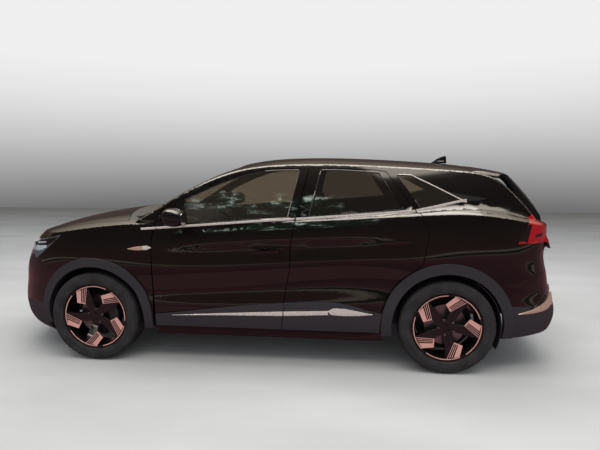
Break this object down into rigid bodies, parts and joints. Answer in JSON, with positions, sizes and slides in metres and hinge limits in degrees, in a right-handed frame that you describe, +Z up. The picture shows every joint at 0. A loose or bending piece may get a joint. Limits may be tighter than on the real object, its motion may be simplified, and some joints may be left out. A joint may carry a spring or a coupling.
{
  "type": "crossover suv",
  "caption": "Five-door crossover car in gloss black with dark plastic arches, two-tone alloy wheels, opening doors, hood and tailgate, and wheels that roll and steer.",
  "frame": {"origin": "on the ground at the middle of the car's length and width", "axes": "+X to the rear along the length, +Y to the car's right, +Z up"},
  "size_m": [4.4075, 2.15, 1.5789],
  "materials": {
    "body_paint": "gloss",
    "dark_cladding": "satin",
    "gloss_black_plastic": "gloss",
    "tinted_glass": "gloss",
    "headlamp_lens": "gloss",
    "tail_lamp_lens": "gloss",
    "tyre_rubber": "matte",
    "rim_finish": "gloss",
    "brake_iron": "satin",
    "chassis_steel": "satin",
    "exhaust_steel": "brushed",
    "cabin_plastic": "matte",
    "seat_fabric": "matte",
    "engine_aluminium": "satin"
  },
  "bodies": {
    "body": {"body_sides": "body_paint", "body_frame": "chassis_steel", "floor_pan": "chassis_steel", "bulkhead": "chassis_steel", "roof": "body_paint", "front_fenders": "body_paint", "front_bumper": "body_paint", "grille": "gloss_black_plastic", "headlamps": "headlamp_lens", "tail_lamps": "tail_lamp_lens", "rear_bumper": "body_paint", "fixed_windows": "tinted_glass", "lower_cladding": "dark_cladding", "wheel_houses": "dark_cladding", "dashboard": "cabin_plastic", "front_seats": "seat_fabric", "rear_seat": "seat_fabric", "engine_block": "engine_aluminium", "radiator": "engine_aluminium", "front_subframe": "chassis_steel", "rear_axle": "chassis_steel", "exhaust": "exhaust_steel", "fuel_tank": "dark_cladding", "roof_antenna": "gloss_black_plastic"},
    "hood": {"hood": "body_paint"},
    "tailgate": {"tailgate": "body_paint", "rear_window": "tinted_glass"},
    "steering_wheel": {"steering_wheel": "cabin_plastic"},
    "front_left_door": {"front_left_door": "body_paint", "front_left_window": "tinted_glass", "front_left_sill_trim": "dark_cladding", "left_mirror": "gloss_black_plastic"},
    "rear_left_door": {"rear_left_door": "body_paint", "rear_left_window": "tinted_glass", "rear_left_sill_trim": "dark_cladding"},
    "front_left_knuckle": {"front_left_knuckle": "chassis_steel"},
    "front_left_wheel": {"front_left_tyre": "tyre_rubber", "front_left_rim": "rim_finish", "front_left_brake_disc": "brake_iron"},
    "rear_left_wheel": {"rear_left_tyre": "tyre_rubber", "rear_left_rim": "rim_finish", "rear_left_brake_disc": "brake_iron"},
    "front_right_door": {"front_right_door": "body_paint", "front_right_window": "tinted_glass", "front_right_sill_trim": "dark_cladding", "right_mirror": "gloss_black_plastic"},
    "rear_right_door": {"rear_right_door": "body_paint", "rear_right_window": "tinted_glass", "rear_right_sill_trim": "dark_cladding"},
    "front_right_knuckle": {"front_right_knuckle": "chassis_steel"},
    "front_right_wheel": {"front_right_tyre": "tyre_rubber", "front_right_rim": "rim_finish", "front_right_brake_disc": "brake_iron"},
    "rear_right_wheel": {"rear_right_tyre": "tyre_rubber", "rear_right_rim": "rim_finish", "rear_right_brake_disc": "brake_iron"}
  },
  "joints": [
    {"name": "steer_left", "type": "hinge", "parent": "body", "child": "front_left_knuckle", "pos_m": [-1.3315, -0.7375, 0.3425], "axis": [0, 0, 1], "range_deg": [-35, 35]},
    {"name": "steer_right", "type": "hinge", "parent": "body", "child": "front_right_knuckle", "pos_m": [-1.3315, 0.7375, 0.3425], "axis": [0, 0, 1], "range_deg": [-35, 35]},
    {"name": "steering_wheel_turn", "type": "hinge", "parent": "body", "child": "steering_wheel", "pos_m": [-0.395, -0.37, 0.945], "axis": [0.9135, 0, 0.4067], "range_deg": [-540, 540]},
    {"name": "hood_open", "type": "hinge", "parent": "body", "child": "hood", "pos_m": [-1.085, 0, 1.125], "axis": [0, 1, 0], "range_deg": [0, 50]},
    {"name": "tailgate_open", "type": "hinge", "parent": "body", "child": "tailgate", "pos_m": [1.5, 0, 1.512], "axis": [0, -1, 0], "range_deg": [0, 76]},
    {"name": "front_left_wheel_spin", "type": "hinge", "parent": "front_left_knuckle", "child": "front_left_wheel", "pos_m": [-1.3315, -0.7775, 0.3425], "axis": [0, 1, 0], "continuous": true},
    {"name": "rear_left_wheel_spin", "type": "hinge", "parent": "body", "child": "rear_left_wheel", "pos_m": [1.3065, -0.7775, 0.3425], "axis": [0, 1, 0], "continuous": true},
    {"name": "front_left_door_open", "type": "hinge", "parent": "body", "child": "front_left_door", "pos_m": [-0.866, -0.8985, 0.7], "axis": [0, 0, -1], "range_deg": [0, 68]},
    {"name": "rear_left_door_open", "type": "hinge", "parent": "body", "child": "rear_left_door", "pos_m": [0.117, -0.8985, 0.7], "axis": [0, 0, -1], "range_deg": [0, 70]},
    {"name": "front_right_wheel_spin", "type": "hinge", "parent": "front_right_knuckle", "child": "front_right_wheel", "pos_m": [-1.3315, 0.7775, 0.3425], "axis": [0, 1, 0], "continuous": true},
    {"name": "rear_right_wheel_spin", "type": "hinge", "parent": "body", "child": "rear_right_wheel", "pos_m": [1.3065, 0.7775, 0.3425], "axis": [0, 1, 0], "continuous": true},
    {"name": "front_right_door_open", "type": "hinge", "parent": "body", "child": "front_right_door", "pos_m": [-0.866, 0.8985, 0.7], "axis": [0, 0, 1], "range_deg": [0, 68]},
    {"name": "rear_right_door_open", "type": "hinge", "parent": "body", "child": "rear_right_door", "pos_m": [0.117, 0.8985, 0.7], "axis": [0, 0, 1], "range_deg": [0, 70]}
  ],
  "couplings": [
    {"joint": "steer_right", "follows": "steer_left", "ratio": 1},
    {"joint": "steering_wheel_turn", "follows": "steer_left", "ratio": 15.4}
  ]
}
